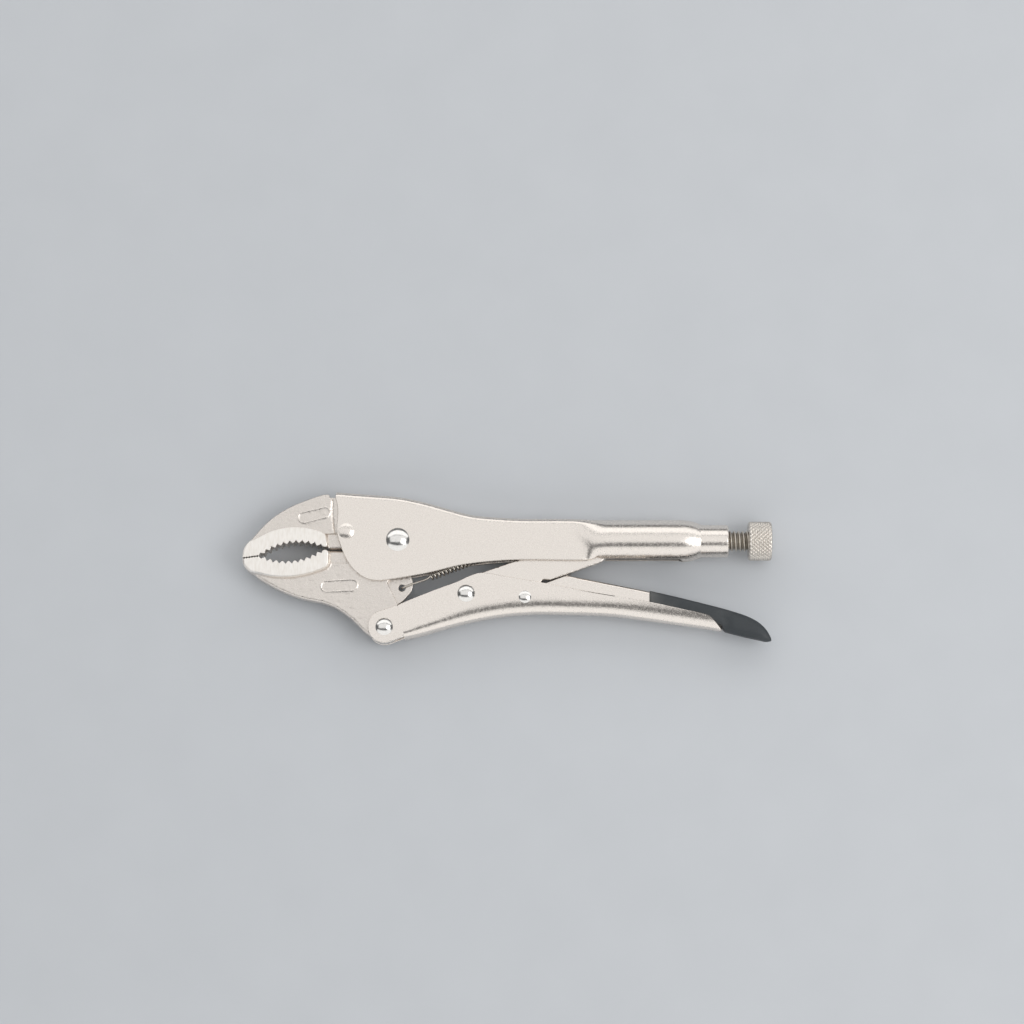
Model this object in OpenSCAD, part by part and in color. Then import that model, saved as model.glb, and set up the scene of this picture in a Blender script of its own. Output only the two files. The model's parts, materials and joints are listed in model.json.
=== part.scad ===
// Locking pliers, 250 mm: curved toothed jaws with a wire cutter, an over-centre toggle
// and a release lever inside the moving handle.
// The tool lies on its side. +X runs from the jaws to the adjusting knob, +Y points to the
// spine of the fixed handle and +Z points out of the side. Every outline is drawn about the
// axis of the main rivet, and place() then moves the tool to its own frame, with the origin
// at the middle of the bounding box's bottom face.

/* [Fixed handle] */
// Thickness of the stamped sheet of both handles
sheet_t = 2.3; // [1.8:0.1:2.5]
// Clear width between the cheeks of the fixed handle
channel_gap = 7.8; // [7.7:0.05:8]
// Outer radius of the round tube at the knob end
tube_r = 10.05; // [9.8:0.05:10.3]
// Distance from the main rivet to the start of the round tube
tube_x = 97; // [95:0.5:98]
// Distance from the main rivet to the closed ring that holds the sleeve
ring_x = 136; // [134:0.5:137]
// Width of the slot along the underside of the tube
tube_slot_w = 7.8; // [7.7:0.1:9]

/* [Jaws] */
// Distance from the main rivet to the nose of the jaws
nose_reach = 73.3; // [73:0.1:73.6]
// Thickness of the jaw webs
web_t = 7.6; // [7:0.1:7.6]
// Width of the gripping lips across the tool
lip_w = 12.6; // [11:0.1:13]
// Number of teeth on each curved lip
tooth_count = 11; // [8:1:13]
// Depth of the teeth
tooth_depth = 1.5; // [0.8:0.1:1.8]
// Thickness of the fixed jaw's tongue between the ears of the movable jaw
tongue_t = 3; // [2:0.1:3.4]
// Thickness of the wire cutter's blades
cutter_t = 4.6; // [3:0.1:5]
// Gap left between the cutting edges when the jaws are closed
cutter_gap = 0.3; // [0.2:0.1:0.8]
// Diameter of the spring's hole in the movable jaw
spring_hole_d = 3.2; // [2.6:0.1:3.4]

/* [Linkage] */
// Jaw-to-lever pivot, from the main rivet along X
lever_pivot_x = -6.2; // [-6.4:0.1:-6]
// Jaw-to-lever pivot, from the main rivet along Y
lever_pivot_y = -41.3; // [-41.5:0.1:-41.1]
// Lever-to-link pivot along X
link_pivot_x = 32.3; // [32:0.1:32.6]
// Lever-to-link pivot along Y
link_pivot_y = -25.5; // [-25.7:0.1:-25.3]
// Release lever's pivot along X
release_pivot_x = 60; // [59.8:0.1:60.2]
// Release lever's pivot along Y
release_pivot_y = -27.2; // [-27.4:0.1:-27]
// Distance from the main rivet to the middle of the link's tip
link_tip_x = 104; // [103.5:0.1:104.2]
// Clear width between the cheeks of the moving handle
lever_gap = 7.9; // [7.8:0.05:8]
// Thickness of the toggle link
link_t = 7; // [6:0.1:7.2]
// Width of the toggle link across its length
link_w = 14.1; // [12:0.1:14.2]
// Thickness of the release lever's stamped sheet
release_sheet = 1.4; // [1:0.1:1.6]
// Outer width of the release lever's channel
release_w = 5.4; // [5:0.1:5.6]

/* [Grip] */
// Thickness of the dipped plastic coat
coat_t = 1; // [0.6:0.1:1.1]
// Width of the grip behind the end of the moving handle
grip_end_w = 9.6; // [8:0.1:10.4]

/* [Rivets] */
// Head diameter of the main rivet
main_head_d = 11; // [10:0.1:12]
// Shank diameter of the main rivet
main_shank_d = 7; // [6:0.1:7.2]
// Head diameter of the jaw and link rivets
pivot_head_d = 8.2; // [7.4:0.1:9]
// Shank diameter of the jaw and link rivets
pivot_shank_d = 5; // [4:0.1:5.4]
// Head diameter of the release lever's rivet
release_head_d = 5.8; // [5.2:0.1:6.2]
// Shank diameter of the release lever's rivet
release_shank_d = 3.4; // [2.6:0.1:3.4]
// Head diameter of the fixed jaw's rivet
front_head_d = 7.4; // [6.8:0.1:7.8]
// Shank diameter of the fixed jaw's rivet
front_shank_d = 4.6; // [4:0.1:5]
// Radial running clearance of every pivot
pivot_fit = 0.05; // [0.02:0.01:0.09]

/* [Adjuster] */
// Outside diameter of the screw's thread
thread_d = 10; // [9.6:0.1:10.2]
// Pitch of the thread
thread_pitch = 2; // [1.5:0.25:2]
// Distance from the main rivet to the screw's inner end
screw_in_x = 111; // [110.8:0.1:112]
// Outside diameter of the threaded sleeve
sleeve_d = 15.3; // [14.6:0.1:15.4]
// Distance from the main rivet to the sleeve's outer end
sleeve_out_x = 156.3; // [154:0.1:158]
// Distance from the main rivet to the knob's inner face
knob_x = 165.7; // [163:0.1:166]
// Length of the knob
knob_len = 11; // [9:0.1:13]
// Diameter of the knob
knob_d = 18.6; // [17:0.1:19.4]

/* [Return spring] */
// Wire diameter
wire_d = 0.95; // [0.7:0.05:1.1]
// Outside diameter of the coil
coil_d = 4.5; // [3.6:0.1:5]
// Number of turns
coil_turns = 16; // [12:1:18]
// Distance between turns
coil_pitch = 1.9; // [1.6:0.1:1.95]

/* [Hidden] */

$fn = 64;
nickel = "#dcd7cf";
bright = "#f2efe9";
polished = "#e8e6e2";
vinyl = "#42474b";
wire = "#8f8b84";

// Pivots in the plane of the tool
lever_pivot = [lever_pivot_x, lever_pivot_y];
link_pivot = [link_pivot_x, link_pivot_y];
release_pivot = [release_pivot_x, release_pivot_y];
link_tip = [link_tip_x, 0];
front_pivot = [-24.3, 4];
cheek_z = channel_gap/2 + sheet_t;
lever_z = lever_gap/2 + sheet_t;
tube_bore_r = tube_r - sheet_t;
sleeve_r = sleeve_d/2;
shoulder_x = ring_x + 7;

// The middle of the bounding box's bottom face
spine_front = [-29.3, 22.9];
lever_end_r = 7.7;
origin_x = (knob_x + knob_len - nose_reach)/2;
origin_y = (spine_front.y + lever_pivot_y - lever_end_r)/2;

// Spring, from the movable jaw's hole to the lug under the spine
spring_hole = [1.8, -22.8];
coil_start = [15.5, -16.6];
coil_angle = 20;
anchor = [52, -3.6];
anchor_lug_w = 4.4;
anchor_lug_t = 1.6;
spine_at_lug = 10.4;

// Points on a circular arc
function arc(c, r, a0, a1, n = 10) =
    [for (i = [0:n]) let (a = a0 + (a1 - a0)*i/n) c + r*[cos(a), sin(a)]];

// A smooth curve through a few points, with n steps between each two
function curve(p, n = 4) = let (last = len(p) - 1) concat([for (i = [0:last - 1], s = [0:n - 1])
    let (a = p[max(i - 1, 0)], b = p[i], c = p[i + 1], d = p[min(i + 2, last)], t = s/n)
    b + t/2*((c - a) + t*((2*a - 5*b + 4*c - d) + t*(3*b - a - 3*c + d)))], [p[last]]);

// The same curve moved sideways, to the left of its direction when d is positive
function beside(p, d) = [for (i = [0:len(p) - 1])
    let (v = p[min(i + 1, len(p) - 1)] - p[max(i - 1, 0)]) p[i] + d*[-v.y, v.x]/norm(v)];

function unit(v) = v/norm(v);

// A row of teeth along a bow from p0 to p1 that rises by sag at its middle
function teeth(p0, p1, sag, count, depth) = let (
    half = norm(p1 - p0)/2,
    side = [-(p1 - p0).y, (p1 - p0).x]/(2*half),
    r = (half*half + sag*sag)/(2*sag),
    c = (p0 + p1)/2 + (sag - r)*side,
    spread = asin(half/abs(r)),
    mid = atan2(sign(r)*side.y, sign(r)*side.x))
    [for (i = [0:2*count]) let (
        a = mid + sign(r)*spread*(1 - i/count),
        bite = i == 0 || i == 2*count ? 0 : i % 2 == 0 ? -depth/2 : depth/2)
        c + (abs(r) + bite)*[cos(a), sin(a)]];

// Moves the tool from the main rivet's axis to its own frame
module place() translate([-origin_x, -origin_y, tube_r]) children();

// A plate of thickness t about the middle plane
module plate(points, t) linear_extrude(height = t, center = true) polygon(points);

// A pin across the tool
module cross_pin(at, d, t) translate([at.x, at.y, -t/2]) cylinder(d = d, h = t);

// A shaft along the screw's axis
module x_shaft(x0, x1, r0, r1) translate([x0, 0, 0]) rotate([0, 90, 0])
    cylinder(r1 = r0, r2 = r1, h = x1 - x0);

// A solid rivet with a domed head on both sides; the crown is pressed flat
module rivet(at, head_d, shank_d, half_grip, dome_h, flat_h) translate([at.x, at.y, 0]) {
    dome_r = (head_d*head_d/4 + dome_h*dome_h)/(2*dome_h);
    cylinder(d = shank_d, h = 2*half_grip, center = true);
    for (side = [0, 1]) mirror([0, 0, side]) intersection() {
        translate([0, 0, half_grip + dome_h - dome_r]) sphere(r = dome_r);
        translate([0, 0, half_grip]) cylinder(d = head_d, h = dome_h - flat_h);
    }
}

// ---- Fixed handle ----

// Top of the fixed handle, from its front corner to the round tube
function spine_line() = concat(curve([spine_front, [-15, 21.8], [0, 20.6], [12, 18.2],
    [24, 14.8], [35, 12], [46, 10.9], [58, 10.2]]), [[90, 10.2], [tube_x, tube_r]]);

// Underside of its cheeks, from the round tube to the front corner
function cheek_edge() = concat([[tube_x, -9.2], [94.3, -7.3], [91.3, -9.7]],
    curve([[86, -9.7], [60, -9.4], [45, -10.2], [30, -12], [15, -15.6], [0, -18.3], [-9, -19.4],
    [-17.5, -17], [-23.3, -10.5], [-26.8, -2], [-28.5, 5], [-29.6, 13]]));

module handle_outside() {
    plate(concat(spine_line(), cheek_edge()), 2*cheek_z);
    x_shaft(tube_x - 10, tube_x, cheek_z, tube_r);
    x_shaft(tube_x, ring_x, tube_r, tube_r);
    x_shaft(ring_x, shoulder_x - 3, tube_r, tube_r - 0.8);
    x_shaft(shoulder_x - 3, shoulder_x, tube_r - 0.8, sleeve_r + 0.6);
}

module handle_inside() {
    plate(concat(beside(spine_line(), -sheet_t), [[tube_x, -40], [-40, -40], [-40, 20.6]]),
        channel_gap);
    x_shaft(tube_x - 8, tube_x, channel_gap/2, tube_bore_r);
    x_shaft(tube_x - 0.01, ring_x, tube_bore_r, tube_bore_r);
    x_shaft(ring_x - 0.01, shoulder_x + 1, sleeve_r, sleeve_r);
    translate([tube_x - 12, -tube_r - 1, -tube_slot_w/2])
        cube([ring_x - tube_x + 11, tube_r, tube_slot_w]);
}

module fixed_handle() {
    color(nickel) place() difference() {
        union() {
            difference() {
                handle_outside();
                handle_inside();
            }
            translate([anchor.x - anchor_lug_w/2, anchor.y - 2, -anchor_lug_t/2])
                cube([anchor_lug_w, spine_at_lug - anchor.y + 1, anchor_lug_t]);
        }
        cross_pin([0, 0], main_shank_d, 40);
        cross_pin(front_pivot, front_shank_d, 40);
        cross_pin(anchor, 2.4, 4);
    }
}

// ---- Jaws ----

block_t = channel_gap - 0.1;
ear_r = 10;
mouth_back = [-33.5, -4.3];
mouth_back_low = mouth_back - [0, 0.6];
mouth_front_up = [-65.5, -7.75];
mouth_front_low = [-65.5, -7.85];
contact_nose = [-nose_reach, -8.8];
cutter_y = -4.45;

// Fine serrations on the flat nose of a jaw, above the contact line (side 1) or below it (-1)
serration_count = 6;
serration_depth = 0.35;
nose_clear = 0.05;
function nose_serrations(side) = let (run = mouth_front_up - contact_nose)
    [for (i = [0:2*serration_count]) contact_nose + run*i/(2*serration_count)
        + [0, side*(nose_clear + serration_depth*(i % 2))]];

function reversed(p) = [for (i = [len(p) - 1:-1:0]) p[i]];

// Upper outline of the fixed jaw, from its nose to the step before the handle
function fixed_back() = curve([[-nose_reach, -6.6], [-70, 0.4], [-60, 10.1], [-50, 16.4],
    [-40, 20.4], [-32.8, 22]]);

// Lower outline of the movable jaw, from its nose to the end of its arm
function movable_back() = concat(curve([[-nose_reach, -9.6], [-70, -14.4], [-60, -21.6],
    [-48, -26.9], [-36, -29.7], [-28, -32.8], [-20, -39], [-14, -44.8]]),
    arc(lever_pivot, 7.6, 225, 360));

function upper_teeth() = teeth(mouth_front_up, mouth_back, 4.3, tooth_count, tooth_depth);
function lower_teeth() = teeth(mouth_front_low, mouth_back_low, -4.2, tooth_count, tooth_depth);

module cutter_blade(x0, x1, up) {
    edge = cutter_y + (up ? 1 : -1)*cutter_gap/2;
    deep = edge + (up ? 7.4 : -6.4);
    slope = edge + (up ? 1 : -1)*cutter_t/2;
    translate([x0, 0, 0]) rotate([90, 0, 90]) linear_extrude(height = x1 - x0)
        polygon([[edge, 0.1], [slope, cutter_t/2], [deep, cutter_t/2], [deep, -cutter_t/2],
            [slope, -cutter_t/2], [edge, -0.1]]);
}

module fixed_jaw() {
    color(nickel) place() difference() {
        union() {
            // web in front of the handle and block between its cheeks
            difference() {
                union() {
                    plate(concat(fixed_back(), [[-32.1, 20.4], [-28, 20.3], [-28, -4],
                        mouth_back], reversed(upper_teeth()), reversed(nose_serrations(1))),
                        web_t);
                    plate(concat([[-28, -4], [-28, 20.2], [-15, 19.2], [-6, 18.5]],
                        arc([0, 0], ear_r + 0.5, 124, 202), [[-12, -4]]), block_t);
                }
                translate([-32.7, cutter_y - 1, -web_t]) cube([5.2, 8.4, 2*web_t]);
            }
            cutter_blade(-32.8, -27.4, true);
            // gripping lip
            plate(concat(curve([[-nose_reach, -6.6], [-71.6, -2], [-68, -0.3], [-60, 3.7],
                [-50, 5.8], [-40, 4.8], [-34, 2.3]]), [[-33, -1], mouth_back],
                reversed(upper_teeth()), reversed(nose_serrations(1))), lip_w);
            // tongue on the main rivet
            plate(concat([[-14, 12], [-14, -4]], arc([0, 0], ear_r - 1.7, 248, 470)), tongue_t);
        }
        cross_pin([0, 0], main_shank_d, 40);
        cross_pin(front_pivot, front_shank_d, 40);
    }
}

module movable_jaw() {
    ear_root = [-31.5, cutter_y - 0.6];
    color(nickel) place() difference() {
        union() {
            difference() {
                union() {
                    plate(concat(movable_back(), [[0, -30.5], [-4.8, -20.5], [-3.5, -19],
                        [5, -8.6], [-8.6, -5], ear_root, mouth_back_low],
                        reversed(lower_teeth()), reversed(nose_serrations(-1))), web_t);
                    cross_pin([0, 0], 2*ear_r, web_t);
                }
                // slot for the tongue of the fixed jaw
                cross_pin([0, 0], 2*ear_r - 2.6, tongue_t + 0.2);
                plate([[-16, -4.6], [-3.2, -8.2], [6, -5], [14, 12], [-16, 12]], tongue_t + 0.2);
                translate([-31.5, cutter_y - 6.4, -web_t]) cube([7.5, 7.4, 2*web_t]);
            }
            cutter_blade(-31.6, -23.9, false);
            // gripping lip
            plate(concat(curve([[-nose_reach, -9.6], [-70.6, -14], [-66, -16.4], [-58, -17.6],
                [-48, -17.6], [-40, -15.5], [-33.4, -11.5]]), [[-32.6, -8], mouth_back_low],
                reversed(lower_teeth()), reversed(nose_serrations(-1))), lip_w);
            // tab for the spring's hook
            difference() {
                plate([[4, -7], [6.8, -16], [6.8, -23.5], [0.3, -31], [-5, -31], [-6, -9]], 2.4);
                cross_pin([0, 0], 2*ear_r - 2.6, 10);
            }
        }
        cross_pin([0, 0], main_shank_d + 2*pivot_fit, 40);
        cross_pin(lever_pivot, pivot_shank_d + 2*pivot_fit, 40);
        cross_pin(spring_hole, spring_hole_d, 40);
    }
}

// ---- Moving handle, toggle link and release lever ----

// Top of the lever's cheeks from the tail to the front, and round its front end
function lever_top() = concat(curve([[152.8, -42.9], [150.5, -39.9], [147.5, -36.8], [144.6, -35.3],
    [133.3, -32.7], [122, -30.2], [110, -28], [90, -24.6], [70, -20.6], [50, -17.3], [40, -15.7],
    [28, -20], [10, -26.8], [-2, -32]]), arc(lever_pivot, lever_end_r, 115, 270));

// Underside of its web from the front to the tail
function lever_bottom() = curve([[3.5, -47], [8.6, -46], [14.3, -44.4], [20, -42.7], [31.3, -39.6],
    [42.6, -37.2], [54, -35.6], [67, -34.9], [80, -35.1], [93.6, -35.4], [105, -36.3], [122, -38.6],
    [133.3, -40.2], [144.6, -41.8], [152.8, -43.1]]);

module lever_handle() {
    color(nickel) place() difference() {
        plate(concat(lever_top(), lever_bottom()), 2*lever_z);
        plate(concat([[3.5, -60]], beside(lever_bottom(), sheet_t), [[160, -10], [-20, 0], [-20, -60]]),
            lever_gap);
        cross_pin(lever_pivot, pivot_shank_d, 40);
        cross_pin(link_pivot, pivot_shank_d, 40);
        cross_pin(release_pivot, release_shank_d, 40);
    }
}

// The link's own direction, from its pivot to its tip
link_len = norm(link_tip - link_pivot);
link_angle = atan2(link_tip.y - link_pivot.y, link_tip.x - link_pivot.x);
link_tip_r = 3;

module toggle_link() {
    half = link_w/2;
    color(nickel) place() translate([link_pivot.x, link_pivot.y, 0]) rotate([0, 0, link_angle])
        difference() {
            plate(concat(arc([0, 0], 6.4, 270, 120), [[7, half], [link_len - 20, half]],
                arc([link_len, 0], link_tip_r, 60, -60), [[link_len - 11, -half], [38, -half],
                [36.5, 1 - half], [34, -half], [8, -half]]), link_t);
            cross_pin([0, 0], pivot_shank_d + 2*pivot_fit, 40);
        }
}

// Back of the release lever, from behind its nose to the end of its straight stretch
release_back = [[80.5, -17], [95, -19.9], [118.7, -24.6], [130, -27.4], [150, -32.4], [165, -37]];

// Outline of the release lever's channel: pivot boss, nose under the link, back and tip
release_boss_r = 3.1;
nose_gap = 0.45;
nose_run = 48;
function release_top() = concat(
    arc(release_pivot, release_boss_r, 250, 90 + link_angle),
    [link_pivot + (link_w/2 + nose_gap)*[sin(link_angle), -cos(link_angle)]
        + nose_run*[cos(link_angle), sin(link_angle)]],
    curve(concat(release_back, [[172, -42], [174.2, -46.6]])));
function release_bottom() = curve([[171.5, -46.8], [164, -45], [156.5, -42.7], [152, -39],
    [140, -36.4], [120, -32.9], [100, -30.4], [80, -29.6], [66, -29.6]]);

module release_lever() {
    color(nickel) place() difference() {
        plate(concat(release_top(), release_bottom()), release_w);
        plate(concat([[66, -24]], beside(curve(release_back), -release_sheet),
            [[166, -60], [66, -60]]), release_w - 2*release_sheet);
        cross_pin(release_pivot, release_shank_d + 2*pivot_fit, 40);
    }
}

// Outline of the dipped coat, closed at the tip
function grip_outline() = concat([[118.7, -24.3]], curve([[119.2, -23.9], [130, -26.4],
    [150, -31.4], [165, -36], [172, -40.2], [175.6, -45.6]]), curve([[175.9, -47.4], [173.8, -47.9],
    [164, -46], [158, -44.5], [154.8, -43.5], [153.6, -42.2], [152.8, -40.5], [151, -39.9],
    [140, -37.4], [119.2, -33.7]]));

module release_grip() {
    wide_x = 155.5;
    color(vinyl) place() difference() {
        union() {
            plate(grip_outline(), release_w + 2*coat_t);
            intersection() {
                plate(grip_outline(), grip_end_w);
                translate([wide_x, -80, -20]) cube([80, 80, 40]);
            }
        }
        plate(concat(release_top(), release_bottom()), release_w);
    }
}

// ---- Adjuster ----

module threaded_sleeve() {
    color(nickel) place() difference() {
        union() {
            x_shaft(ring_x, sleeve_out_x - 0.8, sleeve_r, sleeve_r);
            x_shaft(sleeve_out_x - 0.8, sleeve_out_x, sleeve_r, sleeve_r - 0.8);
        }
        x_shaft(ring_x - 1, sleeve_out_x + 1, thread_d/2 + 0.06, thread_d/2 + 0.06);
    }
}

knob_socket_r = 3.5;
knob_socket_len = 8;

module adjusting_screw() {
    root_r = thread_d/2 - 0.6*thread_pitch;
    grooves = floor((knob_x - screw_in_x - 2)/thread_pitch);
    color(nickel) place() rotate([0, 90, 0]) rotate_extrude() polygon(concat(
        [[0, screw_in_x], [root_r, screw_in_x]],
        [for (i = [0:grooves - 1], step = [[0.15, 0], [0.5, 1], [0.6, 1], [0.95, 0]])
            [root_r + step[1]*(thread_d/2 - root_r), screw_in_x + 1 + (i + step[0])*thread_pitch]],
        [[root_r, knob_x - 0.3], [knob_socket_r, knob_x - 0.3],
        [knob_socket_r, knob_x + knob_socket_len], [0, knob_x + knob_socket_len]]));
}

module adjusting_knob() {
    edge = 1.2;
    end_x = knob_x + knob_len;
    color(bright) place() difference() {
        rotate([0, 90, 0]) rotate_extrude() polygon([[0, knob_x], [knob_d/2 - edge, knob_x],
            [knob_d/2, knob_x + edge], [knob_d/2, end_x - edge], [knob_d/2 - edge, end_x],
            [0, end_x]]);
        x_shaft(knob_x - 1, knob_x + knob_socket_len + 0.3, knob_socket_r + 0.05,
            knob_socket_r + 0.05);
    }
}

// ---- Rivets ----

module main_rivet() {
    color(polished) place() rivet([0, 0], main_head_d, main_shank_d, cheek_z, 2.6, 0.15);
}

module fixed_jaw_rivet() {
    color(nickel) place() rivet(front_pivot, front_head_d, front_shank_d, cheek_z, 1.2, 0.1);
}

module jaw_lever_rivet() {
    color(polished) place() rivet(lever_pivot, pivot_head_d, pivot_shank_d, lever_z, 2.1, 0.1);
}

module link_rivet() {
    color(polished) place() rivet(link_pivot, pivot_head_d, pivot_shank_d, lever_z, 2.1, 0.1);
}

module release_rivet() {
    color(polished) place() rivet(release_pivot, release_head_d, release_shank_d, lever_z, 1.3,
        0.1);
}

// ---- Return spring ----

coil_r = (coil_d - wire_d)/2;
coil_dir = [cos(coil_angle), sin(coil_angle), 0];
coil_side = [-sin(coil_angle), cos(coil_angle), 0];

function spring_path() = let (
    hole = [spring_hole.x, spring_hole.y],
    start = [coil_start.x, coil_start.y, 0],
    end = start + coil_turns*coil_pitch*coil_dir,
    steps = 12*coil_turns)
    concat(
        [[hole.x, hole.y, -2.4], [hole.x, hole.y, 0.6], [hole.x + 0.4, hole.y + 0.15, 1.5],
            [hole.x + 1.4, hole.y + 0.5, 1.95], [hole.x + 3, hole.y + 1.1, 2]],
        [[13, -18.6, coil_r]],
        [for (i = [0:steps]) let (a = 90 + 360*i/12)
            start + coil_pitch*i/12*coil_dir + coil_r*(cos(a)*coil_side + sin(a)*[0, 0, 1])],
        [end + 1.6*coil_dir + [0, 0, coil_r], [anchor.x - 2, anchor.y - 0.7, 1.9],
            [anchor.x - 0.6, anchor.y - 0.2, 1.6], [anchor.x, anchor.y, 0.8],
            [anchor.x, anchor.y, -1.8]]);

// A round wire along a path, turning with it as little as possible
module swept_wire(path, r, sides) {
    last = len(path) - 1;
    along = [for (i = [0:last]) unit(path[min(i + 1, last)] - path[max(i - 1, 0)])];
    across = [for (i = 0, n = [1, 0.2, 0]; i <= last;
        n = unit(n - (n*along[min(i + 1, last)])*along[min(i + 1, last)]), i = i + 1) n];
    rings = [for (i = [0:last], s = [0:sides - 1])
        path[i] + r*(cos(360*s/sides)*across[i] + sin(360*s/sides)*cross(along[i], across[i]))];
    walls = [for (i = [0:last - 1], s = [0:sides - 1])
        [(i + 1)*sides + s, (i + 1)*sides + (s + 1) % sides, i*sides + (s + 1) % sides,
            i*sides + s]];
    polyhedron(points = rings, faces = concat([[for (s = [0:sides - 1]) s]], walls,
        [[for (s = [sides - 1:-1:0]) last*sides + s]]));
}

module return_spring() {
    color(wire) place() swept_wire(spring_path(), wire_d/2, 6);
}

fixed_handle();
fixed_jaw();
movable_jaw();
main_rivet();
fixed_jaw_rivet();
lever_handle();
jaw_lever_rivet();
link_rivet();
release_rivet();
toggle_link();
release_lever();
release_grip();
threaded_sleeve();
adjusting_screw();
adjusting_knob();
return_spring();
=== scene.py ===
import json
import math

import bmesh
import bpy
import numpy as np
from mathutils import Euler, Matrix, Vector, noise
from mathutils.geometry import delaunay_2d_cdt


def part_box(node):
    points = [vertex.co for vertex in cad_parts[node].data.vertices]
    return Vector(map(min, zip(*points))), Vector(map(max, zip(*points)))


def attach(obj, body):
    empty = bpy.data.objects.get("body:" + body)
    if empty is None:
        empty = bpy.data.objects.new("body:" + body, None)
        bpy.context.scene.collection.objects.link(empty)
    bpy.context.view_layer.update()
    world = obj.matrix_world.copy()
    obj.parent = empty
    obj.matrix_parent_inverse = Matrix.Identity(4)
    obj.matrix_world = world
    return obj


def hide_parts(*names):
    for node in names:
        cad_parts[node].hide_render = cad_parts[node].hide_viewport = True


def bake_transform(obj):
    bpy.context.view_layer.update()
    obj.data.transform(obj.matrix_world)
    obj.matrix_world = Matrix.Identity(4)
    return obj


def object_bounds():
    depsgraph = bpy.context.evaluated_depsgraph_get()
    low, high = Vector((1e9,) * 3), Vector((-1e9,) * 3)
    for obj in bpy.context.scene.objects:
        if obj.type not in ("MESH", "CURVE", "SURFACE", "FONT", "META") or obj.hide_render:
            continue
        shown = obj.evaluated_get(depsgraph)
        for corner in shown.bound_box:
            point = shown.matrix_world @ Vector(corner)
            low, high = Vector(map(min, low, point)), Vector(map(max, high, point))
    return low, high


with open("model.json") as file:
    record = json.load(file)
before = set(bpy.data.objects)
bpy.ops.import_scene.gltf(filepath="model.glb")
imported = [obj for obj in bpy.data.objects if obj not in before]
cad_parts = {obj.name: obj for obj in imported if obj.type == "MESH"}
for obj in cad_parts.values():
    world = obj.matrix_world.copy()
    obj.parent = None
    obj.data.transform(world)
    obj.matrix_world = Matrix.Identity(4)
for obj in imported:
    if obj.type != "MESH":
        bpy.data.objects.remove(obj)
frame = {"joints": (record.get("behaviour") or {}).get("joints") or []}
cad_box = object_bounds()

# ---------------------------------------------------------------- the tool's own drawing frame
# Outlines are in millimetres about the axis of the main rivet: x towards the knob, y towards
# the spine of the fixed handle, z out of the side.
MM = 0.001
JOINTS = {j["name"]: j for j in frame["joints"]}
MAIN = Vector(JOINTS["jaw_pivot"]["pos_m"])


def drawn(point):
    """A point of the row frame, in the drawing's millimetres."""
    return (Vector(point) - MAIN) / MM


def placed(p):
    """A drawing point, with or without z, in the row frame's metres."""
    return MAIN + Vector((p[0], p[1], p[2] if len(p) > 2 else 0.0)) * MM


def pivot(joint):
    """Where a joint's axis crosses the drawing."""
    p = drawn(JOINTS[joint]["pos_m"])
    return p.x, p.y


LEVER_PIVOT = pivot("lever_pivot")
LINK_PIVOT = pivot("link_pivot")
RELEASE_PIVOT = pivot("release_pivot")
JAW_RIVET = tuple(drawn(sum(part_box("fixed_jaw_rivet"), Vector()) / 2).xy)

HANDLE_BOX = [drawn(p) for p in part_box("fixed_handle")]
LEVER_BOX = [drawn(p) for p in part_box("lever_handle")]
LINK_BOX = [drawn(p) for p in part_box("toggle_link")]
SLEEVE_BOX = [drawn(p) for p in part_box("threaded_sleeve")]
SCREW_BOX = [drawn(p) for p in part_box("adjusting_screw")]
KNOB_BOX = [drawn(p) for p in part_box("adjusting_knob")]
JAW_BOX = [drawn(p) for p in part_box("movable_jaw")]

# Thickness of the handles' sheet and half widths over their cheeks, radius of the tube, half
# widths of the jaws over lips and webs, tip of the nose, front of the dipped coat, and how far
# the rims of the sheet are rounded.
SHEET = 2.3
CHEEK = 6.2
TUBE_R = HANDLE_BOX[1].z
LEVER_CHEEK = LEVER_BOX[1].z
LIP = JAW_BOX[1].z
WEB = 3.8
NOSE = JAW_BOX[0].x
COAT_X = 118.7
EDGE = 0.35


# ---------------------------------------------------------------- curves
def curve(points, steps=6):
    """A smooth curve through a few points."""
    last, out = len(points) - 1, []
    for i in range(last):
        a, b, c, d = (Vector(points[min(max(k, 0), last)]) for k in range(i - 1, i + 3))
        for s in range(steps):
            t = s / steps
            out.append(b + t / 2 * ((c - a) + t * ((2 * a - 5 * b + 4 * c - d)
                                                   + t * (3 * b - a - 3 * c + d))))
    return out + [Vector(points[-1])]


def arc(c, r, a0, a1, n=16):
    """Points round a centre, from a0 to a1 degrees."""
    angles = [math.radians(a0 + (a1 - a0) * i / n) for i in range(n + 1)]
    return [Vector((c[0] + r * math.cos(a), c[1] + r * math.sin(a))) for a in angles]


def at_x(points, x):
    """The height of a curve that runs along x."""
    ordered = points if points[0][0] < points[-1][0] else points[::-1]
    for p, q in zip(ordered, ordered[1:]):
        if x <= q[0]:
            t = 0.0 if q[0] == p[0] else max(0.0, (x - p[0]) / (q[0] - p[0]))
            return p[1] + t * (q[1] - p[1])
    return ordered[-1][1]


def along(points, f):
    """The point a fraction f of the way along a curve."""
    legs = [(q - p).length for p, q in zip(points, points[1:])]
    left = f * sum(legs)
    for p, q, leg in zip(points, points[1:], legs):
        if left <= leg or q is points[-1]:
            return p.lerp(q, min(left / leg, 1.0) if leg else 0.0)
        left -= leg


def smooth(a, b, x):
    """Eases from 0 where x is a to 1 where x is b."""
    t = min(max((x - a) / (b - a), 0.0), 1.0)
    return t * t * (3 - 2 * t)


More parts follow.
